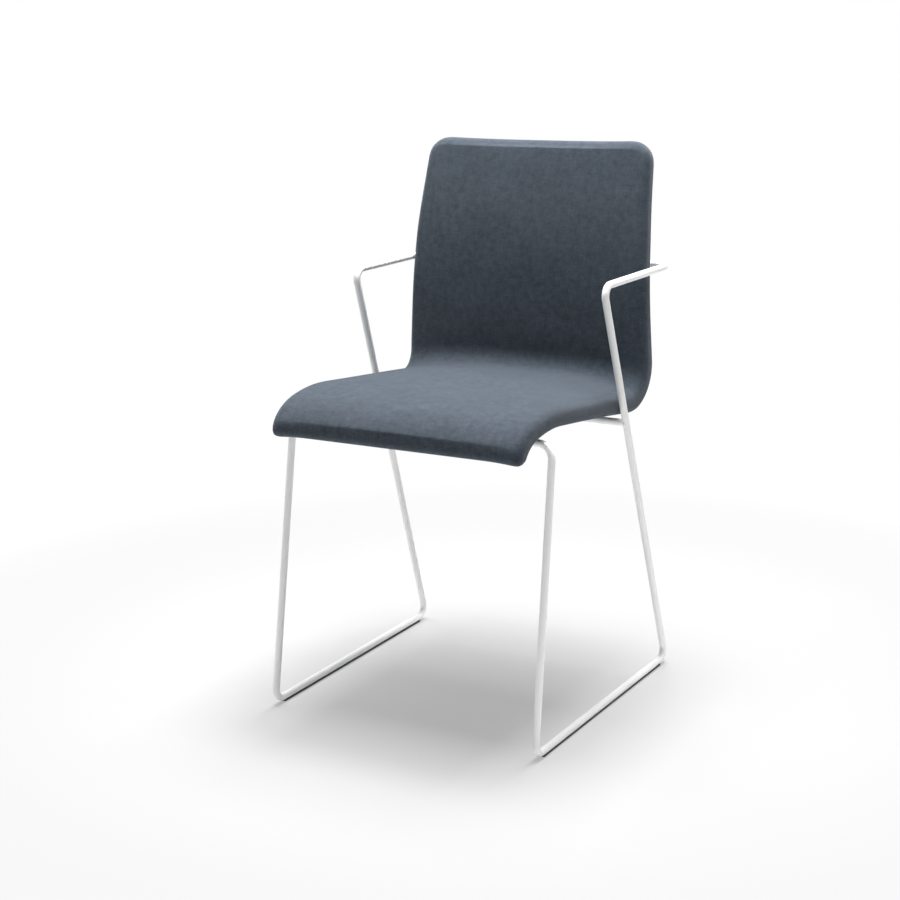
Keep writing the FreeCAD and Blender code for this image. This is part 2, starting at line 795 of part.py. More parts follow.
def make_pad(place, rear_cover):
    """Moulded spacer between tab and shell; its boss passes the cover to the plywood."""
    body = doc.addObject("PartDesign::Body", f"pad_blank_{place}")
    plate = new_sketch(body, f"pad_outline_{place}")
    half = size("pad_width") / 2
    edge = "Sizes.pad_width / 2"
    add_polygon(plate, [
        (-half, f"-{edge}", -half, f"-{edge}"),
        (half, edge, -half, f"-{edge}"),
        (half, edge, half, edge),
        (-half, f"-{edge}", half, edge),
    ])
    block = new_pad(body, f"pad_plate_{place}", plate, "Sizes.pad_thickness")
    doc.recompute()
    names = []
    for number, corner in enumerate(block.Shape.Edges, start=1):
        upright = abs(corner.tangentAt(corner.FirstParameter).z) > 0.9
        if upright:
            names.append(f"Edge{number}")
    corners = body.newObject("PartDesign::Fillet", f"pad_corners_{place}")
    corners.Base = (block, names)
    corners.setExpression("Radius", "Sizes.pad_corner_radius")
    body.Tip = corners
    boss = new_sketch(body, f"boss_outline_{place}")
    add_circle(boss, "Sizes.boss_dia", size("boss_dia"))
    reach = "Sizes.pad_thickness + Sizes.cover_thickness + Sizes.rear_foam_thickness"
    new_pad(body, f"boss_{place}", boss, f"{reach} - Sizes.seat_clearance")
    bore = new_sketch(body, f"pad_bore_outline_{place}")
    hole = "Sizes.screw_dia + Sizes.screw_hole_clearance * 2"
    add_circle(bore, hole, size("screw_dia") + 2 * size("screw_hole_clearance"))
    pocket = new_pocket(body, f"pad_bore_{place}", bore, reach, reverse=True)
    body.Placement = mount_placement(place, -HALF_T - size("pad_thickness"))
    doc.recompute()
    trimmed = boolean("Cut", f"spacer_pad_{place}", body, rear_cover)
    return trimmed, pocket


def screw_offset():
    """Offset from the shell's line of the face that the washer presses on."""
    return -HALF_T - size("pad_thickness") - size("tab_thickness")


def make_screw(place):
    """Button head screw with a hex socket; the thread is left as a plain shank."""
    body = doc.addObject("PartDesign::Body", f"screw_{place}")
    profile = new_sketch(body, f"screw_profile_{place}", "XZ_Plane")
    head = size("screw_head_height")
    head_r = size("screw_head_dia") / 2
    shank_r = size("screw_dia") / 2
    length = size("screw_length")
    rim = "Sizes.screw_head_dia / 2"
    shank = "Sizes.screw_dia / 2"
    crown = "Sizes.hex_width * 0.8"
    crown_r = size("hex_width") * 0.8
    tip = "Sizes.screw_dia / 10"
    tip_value = size("screw_dia") / 10
    add_polygon(profile, [
        (0, "0", -head, "-Sizes.screw_head_height"),
        (crown_r, crown, -head, "-Sizes.screw_head_height"),
        (head_r, rim, -head / 3, "-Sizes.screw_head_height / 3"),
        (head_r, rim, 0, "0"),
        (shank_r, shank, 0, "0"),
        (shank_r, shank, length - tip_value, f"Sizes.screw_length - {tip}"),
        (shank_r - tip_value, f"{shank} - {tip}", length, "Sizes.screw_length"),
        (0, "0", length, "Sizes.screw_length"),
    ])
    turned = body.newObject("PartDesign::Revolution", f"screw_turned_{place}")
    turned.Profile = profile
    turned.ReferenceAxis = (profile, ["V_Axis"])
    turned.Angle = 360
    doc.recompute()
    socket = new_sketch(body, f"socket_outline_{place}", "XY_Plane", "-Sizes.screw_head_height")
    corner_r = size("hex_width") / math.sqrt(3)
    corners = [(math.cos(math.radians(60 * k)), math.sin(math.radians(60 * k))) for k in range(6)]
    add_polygon(socket, [
        (
            corner_r * c,
            f"Sizes.hex_width / sqrt(3) * {c}",
            corner_r * s,
            f"Sizes.hex_width / sqrt(3) * {s}",
        )
        for c, s in corners
    ])
    new_pocket(body, f"socket_{place}", socket, "Sizes.hex_depth", reverse=True)
    body.Placement = mount_placement(place, screw_offset() - size("washer_thickness"))
    return body


def make_washer(place):
    body = doc.addObject("PartDesign::Body", f"washer_{place}")
    ring = new_sketch(body, f"washer_outline_{place}")
    add_circle(ring, "Sizes.washer_dia", size("washer_dia"))
    hole = "Sizes.screw_dia + Sizes.screw_hole_clearance * 2"
    add_circle(ring, hole, size("screw_dia") + 2 * size("screw_hole_clearance"))
    new_pad(body, f"washer_{place}_pad", ring, "Sizes.washer_thickness")
    body.Placement = mount_placement(place, screw_offset() - size("washer_thickness"))
    return body


def make_tee_nut(place):
    """Pronged nut: flange on the plywood's front face, barrel and prongs pressed in."""
    body = doc.addObject("PartDesign::Body", f"tee_nut_{place}")
    profile = new_sketch(body, f"tee_profile_{place}", "XZ_Plane")
    bore = size("screw_dia") / 2 + size("tee_thread_clearance")
    bore_text = "Sizes.screw_dia / 2 + Sizes.tee_thread_clearance"
    flange = size("tee_flange_dia") / 2
    barrel = size("tee_barrel_dia") / 2
    add_polygon(profile, [
        (bore, bore_text, -size("tee_barrel_length"), "-Sizes.tee_barrel_length"),
        (barrel, "Sizes.tee_barrel_dia / 2", -size("tee_barrel_length"), "-Sizes.tee_barrel_length"),
        (barrel, "Sizes.tee_barrel_dia / 2", 0, "0"),
        (flange, "Sizes.tee_flange_dia / 2", 0, "0"),
        (flange, "Sizes.tee_flange_dia / 2", size("tee_flange_thickness"), "Sizes.tee_flange_thickness"),
        (bore, bore_text, size("tee_flange_thickness"), "Sizes.tee_flange_thickness"),
    ])
    turned = body.newObject("PartDesign::Revolution", f"tee_turned_{place}")
    turned.Profile = profile
    turned.ReferenceAxis = (profile, ["V_Axis"])
    turned.Angle = 360
    doc.recompute()
    prong = new_sketch(body, f"prong_outline_{place}")
    half = size("prong_width") / 2
    outer = flange
    inner = flange - size("prong_thickness")
    across = "Sizes.prong_width / 2"
    rim = f"sqrt((Sizes.tee_flange_dia / 2)^2 - ({across})^2)"
    rim_value = math.sqrt(outer ** 2 - half ** 2)
    inner_text = "Sizes.tee_flange_dia / 2 - Sizes.prong_thickness"
    add_polygon(prong, [
        (inner, inner_text, -half, f"-{across}"),
        (rim_value, rim, -half, f"-{across}"),
        (rim_value, rim, half, across),
        (inner, inner_text, half, across),
    ])
    spike = new_pad(body, f"prong_{place}", prong, "Sizes.prong_length", reverse=True)
    ring = body.newObject("PartDesign::PolarPattern", f"prongs_{place}")
    ring.Originals = [spike]
    ring.Axis = (prong, ["N_Axis"])
    ring.Angle = 360
    ring.setExpression("Occurrences", "Sizes.prong_count")
    body.Tip = ring
    body.Placement = mount_placement(place, PLY_FRONT)
    return body


def drilling(name, diameter, height, offset):
    """Plain cylinders at the four mounting places, standing on an offset face."""
    cylinders = []
    for place in MOUNT_PLACES:
        cylinder = doc.addObject("Part::Cylinder", f"{name}_{place}")
        cylinder.setExpression("Radius", f"({diameter}) / 2")
        cylinder.setExpression("Height", height)
        cylinder.Placement = mount_placement(place, offset)
        cylinders.append(cylinder)
    return compound(name, cylinders)


# Shell layers

outer_form = feature("outer_form", upholstery_loft(0.0))
inner_form = feature("inner_form", upholstery_loft(size("cover_thickness")))
plywood_blank = feature("plywood_blank", plywood_sheet())
seam_prism = feature("seam_prism", sitter_side_prism(-HALF_T + size("cover_seam_inset")))
foam_prism = feature("foam_prism", sitter_side_prism((PLY_REAR + PLY_FRONT) / 2))

tee_nuts = compound("tee_nuts", [make_tee_nut(place) for place in MOUNT_PLACES])
screw_bores = drilling(
    "screw_bores", "Sizes.tee_barrel_dia", "Sizes.plywood_thickness", PLY_REAR
)
tee_recesses = drilling(
    "tee_recesses", "Sizes.tee_flange_dia", "Sizes.tee_flange_thickness", PLY_FRONT
)
boss_holes = drilling(
    "boss_holes",
    "Sizes.boss_dia + Sizes.boss_clearance * 2",
    "Sizes.cover_thickness * 2 + Sizes.rear_foam_thickness",
    -HALF_T - size("cover_thickness"),
)

cover_hollow = boolean("Cut", "cover_hollow", outer_form, inner_form)
front_cover = boolean("Common", "front_cover", cover_hollow, seam_prism)
rear_cover_whole = boolean("Cut", "rear_cover_whole", cover_hollow, seam_prism)
rear_cover = boolean("Cut", "rear_cover", rear_cover_whole, boss_holes)

plywood_bored = boolean("Cut", "plywood_bored", plywood_blank, screw_bores)
plywood_shell = boolean("Cut", "plywood_shell", plywood_bored, tee_nuts)

front_filling = boolean("Common", "front_filling", inner_form, foam_prism)
front_hollow = boolean("Cut", "front_hollow", front_filling, plywood_blank)
front_foam = boolean("Cut", "front_foam", front_hollow, tee_recesses)
rear_filling = boolean("Cut", "rear_filling", inner_form, foam_prism)
rear_hollow = boolean("Cut", "rear_hollow", rear_filling, plywood_blank)
rear_foam = boolean("Cut", "rear_foam", rear_hollow, boss_holes)
doc.recompute()

# Mounting hardware
tabs = [make_tab(place) for place in MOUNT_PLACES]
pads = [make_pad(place, rear_cover)[0] for place in MOUNT_PLACES]
mounting_screws = compound("mounting_screws", [make_screw(place) for place in MOUNT_PLACES])
screw_washers = compound("screw_washers", [make_washer(place) for place in MOUNT_PLACES])

NODES = [
    side_frame_left,
    side_frame_right,
    rear_cross_rod,
    *tabs,
    *pads,
    mounting_screws,
    screw_washers,
    tee_nuts,
    plywood_shell,
    front_foam,
    rear_foam,
    front_cover,
    rear_cover,
    *glides,
]
for node in NODES:
    node.Label = node.Name
doc.recompute()

for obj in doc.Objects:
    if "Invalid" in obj.State or "Error" in obj.State:
        raise RuntimeError(f"{obj.Name} failed: {obj.State}")
for node in NODES:
    if node.Shape.isNull() or not node.Shape.isValid() or node.Shape.Volume <= 0:
        raise RuntimeError(f"{node.Label} has no valid shape")

# The origin goes to the middle of the footprint, on the floor
footprint = FreeCAD.BoundBox()
for node in NODES:
    footprint.add(node.Shape.optimalBoundingBox(False, False))
to_origin = FreeCAD.Placement(
    V(0, -(footprint.YMin + footprint.YMax) / 2, -footprint.ZMin), FreeCAD.Rotation()
)

for node in NODES:
    shape = node.Shape.copy()
    shape.Placement = to_origin.multiply(shape.Placement)
    shape.exportStep(f"parts/{node.Label}.step")
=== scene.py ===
"""Sled base visitor chair: upholstery, weld beads, finishes, floor, light and camera."""
import json
import math

import bmesh
import bpy
from bpy.props import FloatProperty, FloatVectorProperty, PointerProperty
from mathutils import Matrix, Vector, noise


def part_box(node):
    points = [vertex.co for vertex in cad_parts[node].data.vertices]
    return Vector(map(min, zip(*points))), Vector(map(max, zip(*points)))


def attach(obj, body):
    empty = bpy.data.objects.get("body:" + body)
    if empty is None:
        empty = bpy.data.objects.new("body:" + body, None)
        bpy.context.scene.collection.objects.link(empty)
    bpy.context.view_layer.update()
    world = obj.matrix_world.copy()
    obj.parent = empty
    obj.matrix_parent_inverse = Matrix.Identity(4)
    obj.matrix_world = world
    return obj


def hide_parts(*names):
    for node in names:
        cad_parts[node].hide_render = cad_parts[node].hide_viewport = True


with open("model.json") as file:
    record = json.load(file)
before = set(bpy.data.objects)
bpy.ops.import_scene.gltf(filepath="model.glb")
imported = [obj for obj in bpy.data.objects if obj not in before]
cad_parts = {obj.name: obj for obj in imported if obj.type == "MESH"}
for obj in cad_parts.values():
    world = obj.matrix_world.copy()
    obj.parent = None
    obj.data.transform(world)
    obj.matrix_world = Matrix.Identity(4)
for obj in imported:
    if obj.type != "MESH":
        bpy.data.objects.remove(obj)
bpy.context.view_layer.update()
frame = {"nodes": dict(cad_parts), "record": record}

bl_info = {
    "name": "Sled Base Visitor Chair",
    "version": (1, 0, 0),
    "blender": (4, 5, 0),
    "location": "3D View > Sidebar > Chair",
    "description": "Upholstery, weld beads, finishes, floor and light of a sled base visitor chair",
    "category": "Object",
}

MM = 0.001
BODY = "root"


# Settings


def length_prop(name, description, default):
    """A size in metres, shown as a length"""
    return FloatProperty(name=name, description=description, default=default, unit="LENGTH", precision=5)


def colour_prop(name, description, default):
    return FloatVectorProperty(
        name=name, description=description, default=default, subtype="COLOR", min=0, max=1
    )


def plain_prop(name, description, default):
    return FloatProperty(name=name, description=description, default=default)


class ShellSettings(bpy.types.PropertyGroup):
    """Sizes of the upholstered shell"""

    thickness: length_prop("Thickness", "Thickness of the upholstered shell", 30 * MM)
    edge_radius: length_prop("Edge Radius", "Rounding of the long edges", 11 * MM)
    crown: length_prop("Crown", "Rise of the padding between the long edges", 3.5 * MM)
    bridge: length_prop("Bridge", "How far the cloth stands off the inside of the bend", 4.5 * MM)
    seat_fill: length_prop("Seat Fill", "Extra padding under the cloth at the back of the seat", 12 * MM)
    top_roll: length_prop("Top Roll", "How far the padding falls back towards the top edge", 2.5 * MM)
    rear_swell: length_prop("Rear Swell", "Extra padding behind the bend", 3 * MM)
    top_sag: length_prop("Top Sag", "How far the middle of the top edge is drawn down", 3.4 * MM)
    corner_droop: length_prop("Corner Droop", "How far the folded corners of the lip hang down", 3.5 * MM)
    front_corner: length_prop("Front Corner", "Corner radius at the lip of the seat", 6 * MM)
    top_corner: length_prop("Top Corner", "Corner radius at the top of the back", 32 * MM)
    seam_height: length_prop("Seam Height", "Seam from the rear face of the shell", 4 * MM)
    seam_depth: length_prop("Seam Depth", "How far the seam is drawn in", 0.9 * MM)
    softness: length_prop("Softness", "Unevenness of the padding", 0.5 * MM)
    crease_depth: length_prop("Crease Depth", "Depth of the creases in the bend", 1.4 * MM)


class FinishSettings(bpy.types.PropertyGroup):
    """Colours of the finishes"""

    coat: colour_prop("Powder Coat", "Coated rods, tabs and welds", (0.86, 0.86, 0.855))
    yarn_dark: colour_prop("Dark Yarn", "Darker yarn of the fabric", (0.029, 0.0375, 0.049))
    yarn_light: colour_prop("Light Yarn", "Lighter yarn of the fabric", (0.076, 0.0935, 0.116))
    # Dark nylon is the real colour of the spacer pads; on the full-length glide strips under the runners
    # it is partly painted shadow, standing in for the runners' contact shadow
    nylon: colour_prop("Nylon", "Glide strips and spacer pads", (0.020, 0.019, 0.019))
    zinc: colour_prop("Zinc", "Screws, washers and nuts", (0.60, 0.61, 0.62))
    veneer: colour_prop("Veneer", "Beech plywood", (0.60, 0.42, 0.26))
    foam: colour_prop("Foam", "Polyurethane foam", (0.70, 0.66, 0.52))


class StageSettings(bpy.types.PropertyGroup):
    """Light, floor and camera"""

    overhead: plain_prop("Overhead Light", "Strength of the light straight above, in watts", 50.0)
    rear: plain_prop("Rear Light", "Strength of the light above the back, in watts", 66.0)
    left: plain_prop("Left Light", "Strength of the light above and to the left, in watts", 24.0)
    right: plain_prop("Right Light", "Strength of the light above and to the right, in watts", 14.0)
    ambient: plain_prop("Ambient", "Strength of the light from all round", 0.09)
    focal_length: plain_prop("Focal Length", "Focal length of the camera in mm", 70.11)


def shell_settings():
    return bpy.context.scene.chair_shell


def finish_settings():
    return bpy.context.scene.chair_finish


def stage_settings():
    return bpy.context.scene.chair_stage


# Side line of the shell

# Radius of an arc or length of a straight run in mm, and the headings at its two ends
SIDE_RUNS = (
    (21.5, 94.0, 43.0),
    (78.0, 43.0, 12.5),
    (264.0, 12.5, -6.2),
    (230.0, -6.2, -6.2),
    (48.5, -6.2, 89.6),
    (64.0, 89.6, 89.6),
    (760.0, 89.6, 75.2),
    (90.4, 75.2, 75.2),
)
SEAT_RUNS = 4
LIP_SETBACK = 3.5
LIP_HEIGHT = 433.5
# The frame's rear loop is this far behind the middle of the front bends at the floor
REAR_LOOP_OUTSIDE = 490.5
# Half widths in mm at distances along the side line
WIDTHS = (
    (0, 208.4),
    (377, 211.3),
    (458, 214.7),
    (522, 211.4),
    (605, 207.2),
    (650, 205.1),
    (720, 199.9),
    (803, 194.4),
)


def origin_shift():
    """Distance in mm from the middle of the front bends back to the frame's origin"""
    return REAR_LOOP_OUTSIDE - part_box("side_frame_right")[1][1] / MM


class SideLine:
    """Middle line of the shell seen from the side, in the frame's millimetres"""

    def __init__(self):
        self.runs = []
        self.length = 0.0
        point = (LIP_SETBACK - origin_shift(), LIP_HEIGHT)
        for amount, heading_from, heading_to in SIDE_RUNS:
            turn = math.radians(abs(heading_to - heading_from))
            length = amount * turn if turn else amount
            self.runs.append((self.length, length, point, heading_from, heading_to))
            point = self.advance(point, length, heading_from, heading_to)
            self.length += length
        self.bend_start = self.runs[SEAT_RUNS][0]
        self.bend_end = self.runs[SEAT_RUNS + 1][0]

    @staticmethod
    def advance(point, length, heading_from, heading_to):
        turn = math.radians(heading_to - heading_from)
        chord = length if turn == 0 else length * math.sin(turn / 2) / (turn / 2)
        middle = math.radians((heading_from + heading_to) / 2)
        return (point[0] + chord * math.cos(middle), point[1] + chord * math.sin(middle))

    def at(self, station):
        """Point and normal towards the sitter, at a distance along the line"""
        for start, length, point, heading_from, heading_to in reversed(self.runs):
            if station >= start or start == 0:
                heading = heading_from + (station - start) / length * (heading_to - heading_from)
                y, z = self.advance(point, station - start, heading_from, heading)
                angle = math.radians(heading)
                normal = Vector((0, -math.sin(angle), math.cos(angle)))
                return Vector((0, y, z)), normal

    def half_width(self, station):
        for (start, width_from), (end, width_to) in zip(WIDTHS, WIDTHS[1:]):
            if station <= end:
                share = max(0.0, (station - start) / (end - start))
                return between(width_from, width_to, share)
        return WIDTHS[-1][1]


def between(start, end, share):
    return start + (end - start) * share


def bell(distance, breadth):
    """1 at no distance, falling smoothly to nothing at about twice the breadth"""
    return math.exp(-(distance / breadth) ** 2)


def smooth(value, start, end):
    """0 at the start, 1 at the end, with no corner at either"""
    share = min(1.0, max(0.0, (value - start) / (end - start)))
    return share * share * (3 - 2 * share)


# Helpers for objects


def deselect_all():
    if bpy.context.object and bpy.context.object.mode != "OBJECT":
        bpy.ops.object.mode_set(mode="OBJECT")
    bpy.ops.object.select_all(action="DESELECT")


def make_active(piece):
    deselect_all()
    piece.select_set(True)
    bpy.context.view_layer.objects.active = piece


def apply_modifier(piece, kind, **settings):
    make_active(piece)
    modifier = piece.modifiers.new(kind.title(), kind)
    for name, value in settings.items():
        setattr(modifier, name, value)
    bpy.ops.object.modifier_apply(modifier=modifier.name)


def finish_piece(piece, name, material):
    """Name, finish and body of a new piece whose mesh is in place"""
    piece.name = name
    piece.data.name = name
    piece.data.materials.clear()
    piece.data.materials.append(material)
    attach(piece, BODY)
    return piece


# Node graphs


class Graph:
    """Node tree of one material"""

    def __init__(self, name):
        self.material = bpy.data.materials.new(name)
        self.material.use_nodes = True
        self.nodes = self.material.node_tree.nodes
        self.links = self.material.node_tree.links
        self.nodes.clear()

    def node(self, kind, settings=None, **inputs):
        """Add a node: its settings first, then values or links for its sockets"""
        made = self.nodes.new(kind)
        for name, value in (settings or {}).items():
            if name == "ramp":
                for index, (place, colour) in enumerate(value):
                    stops = made.color_ramp.elements
                    stop = stops[index] if index < len(stops) else stops.new(place)
                    stop.position = place
                    stop.color = (*colour, 1.0) if hasattr(colour, "__len__") else (colour,) * 3 + (1.0,)
            else:
                setattr(made, name, value)
        for name, value in inputs.items():
            socket = self.socket(made, name)
            if isinstance(value, Wire):
                self.links.new(value.output, socket)
            elif hasattr(value, "__len__") and len(value) == 3 and socket.type == "RGBA":
                socket.default_value = (*value, 1.0)
            else:
                socket.default_value = value
        return made

    @staticmethod
    def socket(made, name):
        """Socket by its name with underscores for spaces, or by its number as input_0"""
        if name.startswith("input_"):
            return made.inputs[int(name.split("_")[1])]
        wanted = name.replace("_", " ").lower()
        for socket in made.inputs:
            if socket.name.lower() == wanted and socket.enabled:
                return socket
        raise KeyError(f"{made.name} has no input {name}")

    def wire(self, kind, settings=None, output=0, **inputs):
        made = self.node(kind, settings, **inputs)
        return Wire(self, made.outputs[output])

    def noise(self, vector, scale, detail=2.0, roughness=0.5):
        return self.wire(
            "ShaderNodeTexNoise", {"noise_dimensions": "3D"},
            Vector=vector, Scale=scale, Detail=detail, Roughness=roughness,
        )

    def object_place(self):
        return self.wire("ShaderNodeTexCoord", output="Object")

    def mix_colour(self, factor, first, second):
        made = self.node("ShaderNodeMix", {"data_type": "RGBA"})
        for index, value in ((0, factor), (6, first), (7, second)):
            if isinstance(value, Wire):
                self.links.new(value.output, made.inputs[index])
            elif hasattr(value, "__len__"):
                made.inputs[index].default_value = (*value, 1.0)
            else:
                made.inputs[index].default_value = value
        return Wire(self, made.outputs[2])

    def ramp(self, value, stops):
        return self.wire("ShaderNodeValToRGB", {"ramp": stops}, Fac=value)

    def bump(self, height, distance, strength=1.0, normal=None):
        inputs = {"Height": height, "Distance": distance, "Strength": strength}
        if normal is not None:
            inputs["Normal"] = normal
        return self.wire("ShaderNodeBump", None, **inputs)

    def surface(self, **inputs):
        shader = self.node("ShaderNodeBsdfPrincipled", None, **inputs)
        output = self.node("ShaderNodeOutputMaterial")
        self.links.new(shader.outputs[0], output.inputs[0])
        return self.material


class Wire:
    """A value in a node graph, which Python's operators act on"""

    def __init__(self, graph, output):
        self.graph = graph
        self.output = output

    def math(self, operation, *others):
        made = self.graph.node("ShaderNodeMath", {"operation": operation})
        for index, value in enumerate((self, *others)):
            if isinstance(value, Wire):
                self.graph.links.new(value.output, made.inputs[index])
            else:
                made.inputs[index].default_value = value
        return Wire(self.graph, made.outputs[0])

    def reflected(self, operation, other):
        made = self.graph.node("ShaderNodeMath", {"operation": operation})
        made.inputs[0].default_value = other
        self.graph.links.new(self.output, made.inputs[1])
        return Wire(self.graph, made.outputs[0])

    def __add__(self, other):
        return self.math("ADD", other)

    def __radd__(self, other):
        return self.math("ADD", other)

    def __rsub__(self, other):
        return self.reflected("SUBTRACT", other)

    def __mul__(self, other):
        return self.math("MULTIPLY", other)

    def __truediv__(self, other):
        return self.math("DIVIDE", other)

    def __mod__(self, other):
        return self.math("FLOORED_MODULO", other)

    def floor(self):
        return self.math("FLOOR")

    def sine(self):
        return self.math("SINE")

    def size(self):
        return self.math("ABSOLUTE")


# Finishes

MATERIALS = {}


def finish(name):
    """The material of that name, made once"""
    if name not in MATERIALS:
        MATERIALS[name] = MAKERS[name]()
    return MATERIALS[name]


def make_powder_coat():
    """Satin white powder coat: fine orange peel and a little unevenness"""
    graph = Graph("satin_powder_coat")
    place = graph.object_place()
    peel = graph.noise(place, 900.0, 3.0)
    cloud = graph.noise(place, 9.0, 2.0)
    coat = finish_settings().coat
    shade = graph.ramp(cloud, [(0.3, [c * 0.965 for c in coat]), (0.7, list(coat))])
    return graph.surface(
        Base_Color=shade,
        Roughness=0.34 + peel * 0.12,
        Normal=graph.bump(peel, 0.00025, 0.5),
        Specular_IOR_Level=0.5,
    )


YARN_PITCH = 0.0011


def make_fabric():
    """Plain weave of two yarns, each yarn uneven in tone along its length, with painted shade in the
    hollows between the yarns
    """
    graph = Graph("melange_fabric")
    colours = finish_settings()
    uv = graph.node("ShaderNodeUVMap", {"uv_map": "Weave"})
    parts = graph.node("ShaderNodeSeparateXYZ", None, Vector=Wire(graph, uv.outputs[0]))
    across = Wire(graph, parts.outputs[0]) / YARN_PITCH
    along = Wire(graph, parts.outputs[1]) / YARN_PITCH
    warp_row = across.floor()
    weft_row = along.floor()
    warp_over = (warp_row + weft_row) % 2.0
    warp_round = (across * math.pi).sine().size()
    weft_round = (along * math.pi).sine().size()
    height = warp_over * warp_round + (1.0 - warp_over) * weft_round

    def yarn_tone(row, run, shift):
        vector = graph.wire(
            "ShaderNodeCombineXYZ", None, X=row * 0.73 + shift, Y=run * 0.045, Z=row * 0.31
        )
        return graph.noise(vector, 2.3, 3.0, 0.6)

    warp_tone = yarn_tone(warp_row, along, 0.0)
    weft_tone = yarn_tone(weft_row, across, 57.0)
    tone = warp_over * warp_tone + (1.0 - warp_over) * weft_tone
    object_place = graph.object_place()
    blotch = graph.noise(object_place, 95.0, 3.0, 0.6)
    cloud = graph.noise(object_place, 14.0, 2.0)
    level = tone * 0.6 + blotch * 0.3 + cloud * 0.1
    colour = graph.ramp(level, [(0.33, list(colours.yarn_dark)), (0.67, list(colours.yarn_light))])
    # Painted shade: the low parts of the weave are darkened towards a deep tone of the dark yarn,
    # standing in for the shade between the yarns
    shaded = graph.mix_colour((1.0 - height) * 0.45, colour, [c * 0.35 for c in colours.yarn_dark])
    fuzz = graph.noise(object_place, 2600.0, 2.0)
    weave_bump = graph.bump(height, 0.00018, 0.7)
    return graph.surface(
        Base_Color=shaded,
        Roughness=0.82 + fuzz * 0.16,
        Normal=graph.bump(fuzz, 0.0001, 0.3, weave_bump),
        Sheen_Weight=0.2,
        Sheen_Roughness=0.45,
        Sheen_Tint=(0.9, 0.95, 1.0),
        Specular_IOR_Level=0.08,
    )


def make_nylon():
    """Moulded dark nylon with a fine grain and scuffs; on the glide strips under the runners this dark
    colour is also painted shadow, standing in for the runners' contact shadow on the floor
    """
    graph = Graph("dark_nylon")
    place = graph.object_place()
    grain = graph.noise(place, 1500.0, 3.0)
    scuff = graph.noise(place, 45.0, 5.0, 0.7)
    nylon = finish_settings().nylon
    shade = graph.ramp(scuff, [(0.45, list(nylon)), (0.75, [c * 2.2 + 0.01 for c in nylon])])
    return graph.surface(
        Base_Color=shade,
        Roughness=0.42 + scuff * 0.25,
        Normal=graph.bump(grain, 0.0001, 0.4),
        Specular_IOR_Level=0.4,
    )


def make_zinc():
    """Zinc plated steel with turning marks"""
    graph = Graph("zinc_plated_steel")
    place = graph.object_place()
    mottle = graph.noise(place, 260.0, 4.0, 0.65)
    fine = graph.noise(place, 2400.0, 2.0)
    zinc = finish_settings().zinc
    shade = graph.ramp(mottle, [(0.3, [c * 0.8 for c in zinc]), (0.7, list(zinc))])
    return graph.surface(
        Base_Color=shade,
        Metallic=1.0,
        Roughness=0.28 + mottle * 0.2,
        Normal=graph.bump(fine, 0.00005, 0.4),
    )


def make_veneer():
    """Beech plywood: short dark flecks along the grain"""
    graph = Graph("beech_plywood")
    place = graph.object_place()
    stretched = graph.wire("ShaderNodeMapping", None, Vector=place, Scale=(1.0, 0.12, 0.12))
    fleck = graph.noise(stretched, 420.0, 3.0, 0.6)
    band = graph.noise(stretched, 30.0, 2.0)
    veneer = finish_settings().veneer
    shade = graph.ramp(fleck * 0.5 + band * 0.5, [(0.4, [c * 0.75 for c in veneer]), (0.6, list(veneer))])
    return graph.surface(
        Base_Color=shade,
        Roughness=0.5 + fleck * 0.15,
        Normal=graph.bump(fleck, 0.0001, 0.4),
    )


def make_foam():
    """Open cell foam"""
    graph = Graph("open_cell_foam")
    place = graph.object_place()
    cells = graph.wire("ShaderNodeTexVoronoi", None, Vector=place, Scale=700.0)
    foam = finish_settings().foam
    shade = graph.ramp(cells, [(0.1, [c * 0.6 for c in foam]), (0.7, list(foam))])
    return graph.surface(Base_Color=shade, Roughness=0.95, Normal=graph.bump(cells, 0.0006, 0.6))


MAKERS = {
    "coat": make_powder_coat,
    "fabric": make_fabric,
    "nylon": make_nylon,
    "zinc": make_zinc,
    "veneer": make_veneer,
    "foam": make_foam,
}

SLOT_FINISHES = {
    "white_rod": "coat",
    "white_plate": "coat",
    "pad_plastic": "nylon",
    # Partly painted shadow: the dark glide strips stand in for the runners' contact shadow on the floor
    # as well as for real glides
    "glide_nylon": "nylon",
    "zinc_steel": "zinc",
    "plywood": "veneer",
    "foam": "foam",
    "melange_fabric": "foam",
}


# Upholstery

GRID_PITCH = 9.0
INNER_INSET = 40.0
# Rings of the flat, as shares of the way from the grid to the rounded edge
FLAT_SHARES = (0.3, 0.6, 0.8, 0.9, 0.96, 1.0)
# Rings of the rounded edge by angle, and of the wall below it by share of its height
FRONT_ANGLES = (72, 54, 36, 18, 0)
REAR_ANGLES = (70, 52)
WALL_SHARES = (0.5, 0.0)
# Distances in mm over which the shapes of the padding fade
SAG_REACH = 80
LIP_REACH = 40
CORNER_REACH = 60
ROLL_REACH = 50
SWELL_SHIFT = 15
SWELL_BREADTH = 90
BRIDGE_ABOVE = 75
BRIDGE_BELOW = 40
FILL_START = 120
FILL_PAST_BEND = 130
SEAM_STEPS = (1.3, 0.5, 0.0, -0.5, -1.3)
SEAM_HALF_WIDTH = 0.9
# Creases in the bend: distance from its middle, share of the depth, breadth
CREASES = ((-14, 0.55, 5.0), (6, 1.0, 6.0), (24, 0.5, 5.0))
MERGE_DISTANCE = 0.05 * MM


